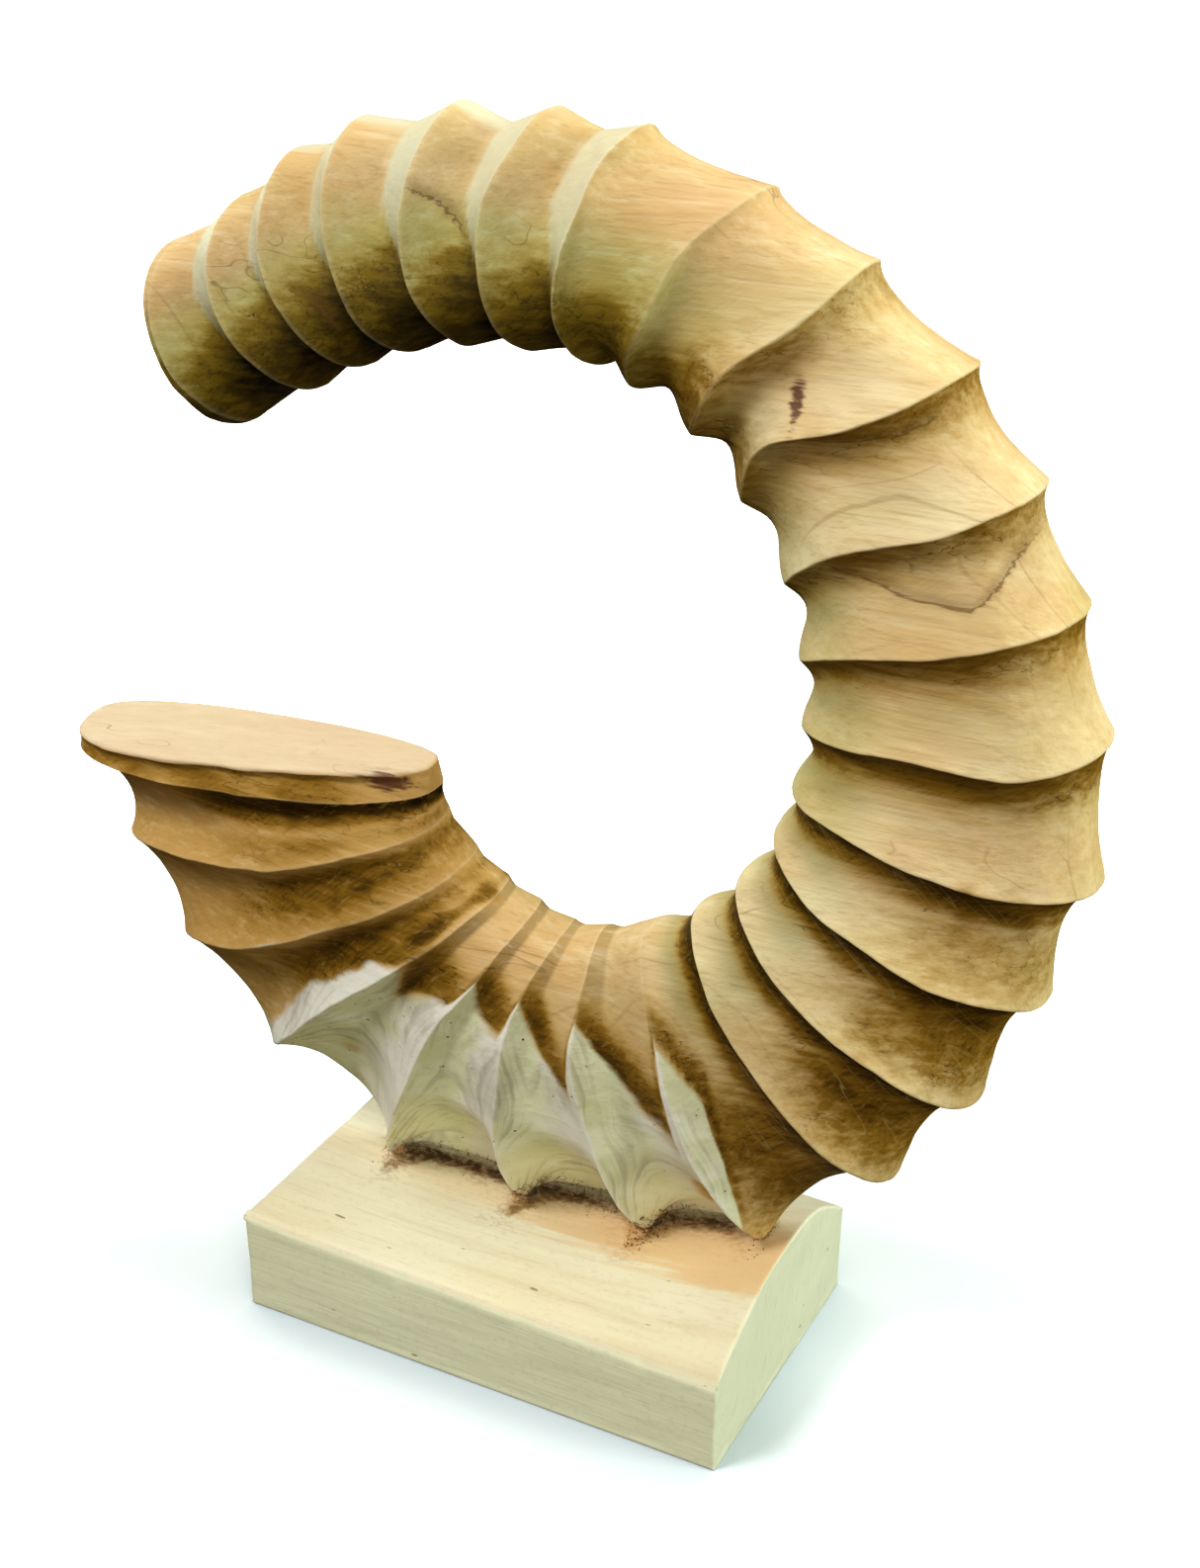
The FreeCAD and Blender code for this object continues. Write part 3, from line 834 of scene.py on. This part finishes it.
def horn_material():
    wood = Recipe("horn_wood_carved")
    drift = wood.noise((7, 9, 9), detail=2, colour=True)
    warped = wood.shift(wood.place, drift, (0.03, 0.022, 0.03))
    depth = wood.times(wood.axis(warped, "Y"), -0.95)
    rise = wood.times(wood.axis(warped, "Z"), -0.12)
    field = wood.math("ADD", depth, rise)
    fibre = wood.noise((16, 240, 240), detail=4, rough=0.6)
    strokes = wood.noise((24, 640, 640), detail=2, rough=0.5)
    rasped = wood.noise((90, 900, 520), wood.turned((0, 0.7, 0)), detail=2)
    cloud = wood.noise((9, 16, 16), detail=3)
    blotch = wood.noise((24, 48, 48), detail=3, rough=0.6)
    stain_and_shade, ridge = wood.attribute("stain_and_shade"), wood.attribute("ridge")

    # heartwood: cream to peach clouds, soft streaks and a few thin dark lines
    heart = wood.ramp(cloud, ((0.30, (240, 226, 184)), (0.50, (230, 206, 158)), (0.70, (216, 186, 130))))
    tint = wood.noise((13, 22, 22), warped, detail=2)
    heart = wood.mix(wood.span(tint, 0.50, 0.66, 0, 0.35), heart, (232, 188, 144))
    heart = wood.mix(wood.span(tint, 0.48, 0.34, 0, 0.35), heart, (206, 196, 134))
    heart = wood.mix(wood.attribute("tan"), heart, (198, 155, 90))
    # painted shade: olive on the steep sides of the hollows along the bottom
    heart = wood.mix(wood.times(wood.attribute("olive"), 0.5), heart, (140, 118, 70))
    heart = wood.mix(wood.span(fibre, 0.48, 0.78, 0, 0.35), heart, (184, 146, 88))
    heart = wood.mix(wood.span(fibre, 0.50, 0.28, 0, 0.25), heart, (246, 234, 196))
    beside = wood.span(wood.math("ABSOLUTE", wood.facing("X")), 0.25, 0.65, 0.26, 0.02)
    heart = wood.mix(wood.times(wood.span(strokes, 0.48, 0.78), beside), heart, (146, 106, 52))
    lines = wood.math("SINE", wood.times(field, 620.0))
    strength = wood.span(wood.noise((5, 12, 12), detail=2), 0.48, 0.66, 0.02, 0.26)
    strength = wood.times(strength, wood.span(wood.attribute("sawn"), 0, 1, 1.0, 0.25))
    ring = wood.times(wood.span(lines, 0.955, 1.0), strength)
    heart = wood.mix(ring, heart, (136, 98, 50))
    soft_ring = wood.math("SINE", wood.times(field, 260.0))
    heart = wood.mix(wood.span(soft_ring, 0.0, 1.0, 0, 0.12), heart, (170, 128, 70))
    heart = wood.mix(wood.times(wood.attribute("sawn"), 0.6), heart, (212, 194, 170))
    vein = wood.noise((8, 44, 44), warped, detail=2)
    thin = wood.span(wood.math("ABSOLUTE", wood.math("SUBTRACT", vein, 0.5)), 0.007, 0.0)
    where = wood.span(wood.noise((14, 22, 22), detail=2), 0.54, 0.66, 0, 0.42)
    heart = wood.mix(wood.times(thin, where), heart, (92, 62, 28))
    # painted shade: olive grey at the inner ends of the hollows on the right
    heart = wood.mix(wood.times(wood.attribute("inner"), 0.55), heart, (150, 138, 84))

    # worked places and painted shade: golden to dark brown, with the scratches left in them
    stain_shade_level = wood.times(stain_and_shade, wood.span(fibre, 0.28, 0.72, 0.78, 1.16))
    stain_shade_level = wood.times(stain_shade_level, wood.span(cloud, 0.25, 0.7, 0.90, 1.10))
    stain_shade_colour = wood.ramp(stain_shade_level, ((0.1, (200, 160, 80)), (0.35, (150, 112, 34)), (0.65, (94, 66, 8)),
                              (1.0, (28, 20, 1))))
    # real stains and painted shade under ridges, rims and undersides, golden to near black
    heart = wood.mix(wood.span(stain_shade_level, 0.0, 0.42), heart, stain_shade_colour)
    # painted greenish cast over the shaded lower side of the small end and the inner ends
    heart = wood.mix(wood.attribute("green"), heart, (230, 255, 244), "MULTIPLY")
    shown = wood.span(stain_shade_level, 0.1, 0.6)
    dark_hatch = wood.times(shown, wood.span(rasped, 0.47, 0.35, 0, 0.42))
    heart = wood.mix(dark_hatch, heart, (58, 42, 10))
    shown = wood.times(shown, wood.span(wood.axis(wood.place, "Z"), 0.36, 0.32))
    light_hatch = wood.times(shown, wood.span(rasped, 0.58, 0.72, 0, 0.24))
    heart = wood.mix(light_hatch, heart, (200, 176, 112))
    across = wood.noise((150, 40, 9), wood.turned((0, 0.64, 0)), detail=0)
    across = wood.span(wood.math("ABSOLUTE", wood.math("SUBTRACT", across, 0.5)), 0.024, 0.0, 0, 0.30)
    shown = wood.times(shown, wood.span(wood.axis(wood.place, "X"), 0.10, 0.14))
    heart = wood.mix(wood.times(shown, across), heart, (206, 186, 128))
    crack = wood.noise((20, 120, 120), warped, detail=3)
    crack = wood.span(wood.math("ABSOLUTE", wood.math("SUBTRACT", crack, 0.5)), 0.014, 0.0, 0, 0.6)
    crack = wood.times(crack, wood.span(stain_and_shade, 0.08, 0.35))
    heart = wood.mix(wood.times(crack, wood.span(blotch, 0.42, 0.58)), heart, (46, 32, 8))
    offset = wood.math("ADD", wood.attribute("mark"), wood.span(strokes, 0.3, 0.7, -0.8, 0.8))
    core = wood.span(wood.math("ABSOLUTE", offset), 1.2, 0.1, 0, 0.72)
    halo = wood.span(wood.math("ABSOLUTE", wood.math("ADD", offset, -1.5)), 4.5, 0.0, 0, 0.34)
    drawn = wood.times(wood.math("MAXIMUM", core, halo), wood.attribute("marked"))
    heart = wood.mix(drawn, heart, (104, 74, 30))

    # sapwood: whitish along the crests, olive grey in the hollows, with close wavering ring lines
    pale = wood.ramp(blotch, ((0.3, (242, 242, 216)), (0.52, (230, 230, 190)), (0.75, (220, 220, 174))))
    # partly painted highlight: whiter on the faces just below each ridge
    pale = wood.mix(wood.times(wood.attribute("crest"), 0.8), pale, (242, 236, 224))
    smear = wood.noise((30, 40, 14), detail=3, rough=0.6)
    pale = wood.mix(wood.span(smear, 0.5, 0.72, 0, 0.45), pale, (172, 162, 146))
    here = wood.span(smear, 0.38, 0.58)
    swirl = wood.math("SINE", wood.math("MULTIPLY_ADD", field, 1500.0, wood.times(smear, 9.0)))
    pale = wood.mix(wood.times(here, wood.span(swirl, 0.2, 1.0, 0, 0.28)), pale, (136, 122, 104))
    fine = wood.math("SINE", wood.math("MULTIPLY_ADD", field, 3900.0, wood.times(blotch, 14.0)))
    pale = wood.mix(wood.times(here, wood.span(fine, 0.5, 1.0, 0, 0.12)), pale, (120, 104, 90))
    # sapwood ridge lines whiter: partly worn edges, partly a painted highlight
    worn_and_highlit = wood.times(ridge, wood.span(blotch, 0.35, 0.6, 0.7, 0.1))
    pale = wood.mix(worn_and_highlit, pale, (248, 246, 236))
    pale = wood.mix(wood.span(fibre, 0.55, 0.8, 0, 0.25), pale, (160, 148, 106))
    # partly painted highlight: whitish on the faces just below each ridge
    whitish = wood.times(wood.attribute("crest"), wood.span(smear, 0.62, 0.45, 0.1, 0.5))
    pale = wood.mix(whitish, pale, (244, 240, 230))
    flecks = wood.span(wood.noise((260, 420, 420), detail=1), 0.76, 0.79)
    pale = wood.mix(flecks, pale, (70, 52, 40))

    border = wood.math("ADD", wood.attribute("sapwood"), wood.span(fibre, 0.3, 0.7, -0.13, 0.13))
    is_sap = wood.span(border, -0.4, 0.4)
    colour = wood.mix(is_sap, heart, pale)
    # painted sheen on the pale strips left of each ridge and over the top of the small end
    painted_sheen = wood.times(wood.attribute("pale"), wood.span(cloud, 0.35, 0.6, 0.85, 0.6))
    colour = wood.mix(painted_sheen, colour, (218, 218, 188))
    # ridge crests a little paler: partly worn edges, partly a painted highlight along them
    colour = wood.mix(wood.times(ridge, 0.14), colour, (244, 232, 196))
    knot = wood.math("ADD", wood.attribute("knot"), wood.span(blotch, 0.3, 0.7, -0.18, 0.18))
    knot = wood.math("ADD", knot, wood.span(strokes, 0.3, 0.7, -0.22, 0.22))
    knot = wood.span(knot, 0.12, 0.65, 0, 0.9)
    knot = wood.times(knot, wood.span(wood.attribute("knot"), 0.03, 0.2))
    colour = wood.mix(knot, colour, (96, 56, 40))

    height = wood.math("ADD", wood.times(fibre, 0.7), wood.times(rasped, 0.3))
    normal = wood.bump(height, 0.0010, 0.6)
    roughness = wood.span(fibre, 0.3, 0.7, 0.52, 0.68)
    return wood.finish(colour, roughness, normal, Specular_IOR_Level=0.2)


def block_material():
    wood = Recipe("block_wood_sawn")
    streak = wood.noise((5, 90, 60), detail=4, rough=0.55)
    fibre = wood.noise((22, 420, 420), detail=3, rough=0.6)
    cloud = wood.noise((7, 14, 14), detail=2)
    x, y = wood.axis(wood.place, "X"), wood.axis(wood.place, "Y")
    colour = wood.ramp(cloud, ((0.3, (234, 228, 202)), (0.6, (228, 216, 184)), (0.8, (218, 204, 168))))
    colour = wood.mix(wood.span(streak, 0.45, 0.8, 0, 0.48), colour, (204, 182, 142))
    colour = wood.mix(wood.span(fibre, 0.5, 0.8, 0, 0.20), colour, (176, 156, 112))
    # painted light: the upright faces made paler and greener, standing in for the light that falls on them
    side = wood.span(wood.facing("Z"), 0.75, 0.25)
    colour = wood.mix(wood.times(side, 0.7), colour, (252, 255, 218))
    grit = wood.noise((260, 420, 300), detail=2, rough=0.6)
    sawdust_and_shade = wood.math("ADD", wood.attribute("sawdust_and_shade"), wood.span(grit, 0.3, 0.7, -0.22, 0.22))
    # brown sawdust, then near-black painted shade in the gaps under the horn's arches
    colour = wood.mix(wood.span(sawdust_and_shade, 0.05, 0.95, 0, 0.85), colour, (128, 92, 54))
    colour = wood.mix(wood.span(sawdust_and_shade, 0.74, 1.05, 0, 0.8), colour, (40, 28, 12))
    end = wood.span(wood.facing("X"), 0.6, 0.95)
    colour = wood.mix(wood.times(end, 0.8), colour, (236, 238, 214))
    sawn = wood.noise((200, 520, 60), wood.turned((0.5, 0, 0)), detail=3, rough=0.6)
    saw_lines = wood.times(end, wood.span(sawn, 0.5, 0.75, 0, 0.3))
    colour = wood.mix(saw_lines, colour, (190, 194, 150))
    # warm heart band along the top, widest towards the rising end
    edge = wood.math("ADD", y, wood.span(x, -0.06, 0.135, 0.008, 0.031))
    edge = wood.math("ADD", edge, wood.span(streak, 0.2, 0.8, -0.012, 0.012))
    band = wood.times(wood.span(edge, -0.006, 0.006), wood.span(y, 0.02, 0.0))
    band = wood.times(band, wood.span(x, -0.07, 0.07, 0.25, 1.0))
    band = wood.times(band, wood.span(wood.facing("Z"), 0.5, 0.8))
    colour = wood.mix(wood.times(band, 0.7), colour, (224, 184, 128))
    mark = wood.span(wood.noise((60, 260, 160), detail=1), 0.77, 0.80, 0, 0.7)
    colour = wood.mix(mark, colour, (120, 100, 66))
    normal = wood.bump(wood.math("ADD", streak, fibre), 0.0006, 0.4)
    return wood.finish(colour, wood.span(fibre, 0.3, 0.7, 0.62, 0.8), normal, Specular_IOR_Level=0.25)


def fibre_material():
    wood = Recipe("torn_fibre")
    tone = wood.noise((300, 300, 300), detail=2)
    colour = wood.ramp(tone, ((0.3, (86, 56, 28)), (0.55, (150, 108, 58)), (0.75, (214, 176, 116))))
    return wood.finish(colour, wood.span(tone, 0.3, 0.7, 0.8, 0.95), Specular_IOR_Level=0.15)


def dowel_material():
    wood = Recipe("dowel_beech")
    grain = wood.noise((500, 500, 30), detail=3)
    fleck = wood.noise((900, 900, 220), detail=1)
    colour = wood.ramp(grain, ((0.3, (214, 178, 128)), (0.7, (178, 136, 86))))
    colour = wood.mix(wood.span(fleck, 0.6, 0.75, 0, 0.5), colour, (140, 96, 56))
    return wood.finish(colour, wood.span(grain, 0.3, 0.7, 0.55, 0.7), wood.bump(grain, 0.0003, 0.4),
                       Specular_IOR_Level=0.3)


def steel_material(name, tint, dark):
    metal = Recipe(name)
    brushed = metal.noise((420, 420, 900), detail=3, rough=0.65)
    worn = metal.noise((90, 90, 90), detail=3, rough=0.6)
    colour = metal.mix(metal.span(worn, 0.4, 0.7), tint, dark)
    colour = metal.mix(metal.span(brushed, 0.55, 0.8, 0, 0.4), colour, (226, 224, 214))
    return metal.finish(colour, metal.span(worn, 0.3, 0.7, 0.28, 0.5), metal.bump(brushed, 0.0002, 0.3),
                        Metallic=1.0)


def floor_material():
    """Pale paper with a soft cool shade near the object; it glows further out and is clear from behind."""
    paper = Recipe("pale_floor")
    tooth = paper.noise((30, 30, 30), detail=2)
    colour = paper.ramp(tooth, ((0.3, (244, 250, 254)), (0.7, (247, 252, 255))))
    nearby = paper.new("AmbientOcclusion")
    paper.put(nearby, "Distance", 0.06)
    colour = paper.mix(paper.span(nearby.outputs["AO"], 0.45, 0.97), (206, 217, 226), colour)
    reach = paper.new("VectorMath")
    reach.operation = "LENGTH"
    paper.put(reach, 0, paper.place)
    glow = paper.span(reach.outputs["Value"], 0.17, 0.75, 0.0, 1.0)
    paper.material.cycles.emission_sampling = "NONE"
    behind = paper.new("NewGeometry").outputs["Backfacing"]
    paper.put(paper.shader, "Alpha", paper.math("SUBTRACT", 1.0, behind))
    return paper.finish(colour, 0.9, Specular_IOR_Level=0.0, Emission_Color=(0.93, 0.97, 1.0, 1.0),
                        Emission_Strength=glow)


def wear(thing, material):
    """Give a thing one material in place of any it has."""
    thing.data.materials.clear()
    thing.data.materials.append(material)


# ---- pieces
horn_points, horn_faces, horn_hollow, horn_place = build_horn()
horn = make_mesh("carved_horn", horn_points, horn_faces,
                 horn_attributes(horn_points, horn_hollow, horn_place))
block_points, block_faces = build_block()
block = make_mesh("sawn_block", block_points, block_faces, {"sawdust_and_shade": sawdust_and_shade_on(block_points, horn_points)})
cut(block, block_bores())
block.data.shade_smooth()
fibre_points, fibre_faces = build_fibres(horn_points)
fibres = make_mesh("torn_fibres", fibre_points, fibre_faces)
fibres.data.shade_flat()

wear(horn, horn_material())
wear(block, block_material())
wear(fibres, fibre_material())
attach(horn, "root")
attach(block, "root")
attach(fibres, "root")
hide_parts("horn")
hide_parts("base_block")

screw_look = steel_material("screw_zinc", (176, 176, 168), (128, 128, 122))
washer_look = steel_material("washer_zinc", (190, 190, 182), (142, 142, 136))
for part, look in (("coach_screw_", screw_look), ("washer_", washer_look), ("dowel_", dowel_material())):
    for end_name in ("left", "right"):
        wear(cad[part + end_name], look)

# ---- stage, light and camera
floor_size = 80.0
bpy.ops.mesh.primitive_plane_add(size=floor_size, location=(0, 0, cad_box[0][2]))
floor = bpy.context.object
floor.name = "studio_floor"
bpy.ops.mesh.primitive_uv_sphere_add(segments=64, ring_count=32, radius=floor_size * 0.45,
                                     location=(0, 0, 0))
backdrop = bpy.context.object
backdrop.name = "studio_backdrop"
backdrop.data.flip_normals()
stage_look = floor_material()
for stage in (floor, backdrop):
    wear(stage, stage_look)
    stage.visible_diffuse = False
    stage.visible_glossy = False
    stage.visible_shadow = False

world = bpy.data.worlds.new("studio")
scene.world = world
world.use_nodes = True
sky = world.node_tree
sky.nodes.clear()
direction, split, shade, half, glow, out = [sky.nodes.new("ShaderNode" + kind) for kind in (
    "TexCoord", "SeparateXYZ", "ValToRGB", "MapRange", "Background", "OutputWorld")]
half.inputs[1].default_value = -1.0
shade.color_ramp.elements[0].position = 0.46
shade.color_ramp.elements[0].color = (0.125, 0.098, 0.028, 1)
shade.color_ramp.elements[1].position = 0.80
shade.color_ramp.elements[1].color = (0.80, 0.84, 0.80, 1)
glow.inputs["Strength"].default_value = 0.37
sky.links.new(direction.outputs["Generated"], split.inputs[0])
sky.links.new(split.outputs["Z"], half.inputs[0])
sky.links.new(half.outputs[0], shade.inputs[0])
sky.links.new(shade.outputs[0], glow.inputs["Color"])
sky.links.new(glow.outputs[0], out.inputs[0])


def add_area(name, place, target, size, power, colour):
    """A round soft light at a place, turned to its target."""
    light = bpy.data.lights.new(name, "AREA")
    light.shape = "DISK"
    light.size = size
    light.energy = power
    light.color = colour
    holder = bpy.data.objects.new(name, light)
    scene.collection.objects.link(holder)
    holder.location = place
    holder.rotation_euler = (Vector(target) - Vector(place)).to_track_quat("-Z", "Y").to_euler()


middle = (0.0, 0.0, 0.33)
add_area("key", (-0.95, -1.25, 2.25), middle, 0.8, 35, (1.0, 0.99, 0.98))
add_area("top", (0.3, 0.9, 2.2), middle, 1.0, 13, (1.0, 1.0, 0.98))
add_area("side", (2.2, 0.3, 1.0), middle, 0.9, 28, (0.90, 1.0, 0.86))
add_area("front", (1.5, -1.7, 1.3), middle, 1.0, 17, (1.0, 1.0, 0.97))
add_area("left", (-2.0, 0.9, 0.7), middle, 1.0, 10, (0.88, 1.0, 0.82))

camera_data = bpy.data.cameras.new("view")
camera_data.lens = 48.8
camera_data.sensor_width = 36
camera_data.sensor_fit = "AUTO"
camera = bpy.data.objects.new("view", camera_data)
scene.collection.objects.link(camera)
target = Vector((0.0324, 0.0, 0.3062))
around, above, distance = math.radians(27.58), math.radians(25.23), 0.988
camera.location = target + distance * Vector((math.cos(above) * math.sin(around),
                                              -math.cos(above) * math.cos(around), math.sin(above)))
camera.rotation_euler = (target - camera.location).to_track_quat("-Z", "Y").to_euler()
scene.camera = camera
scene.view_settings.view_transform = "Standard"
scene.view_settings.look = "Medium High Contrast"
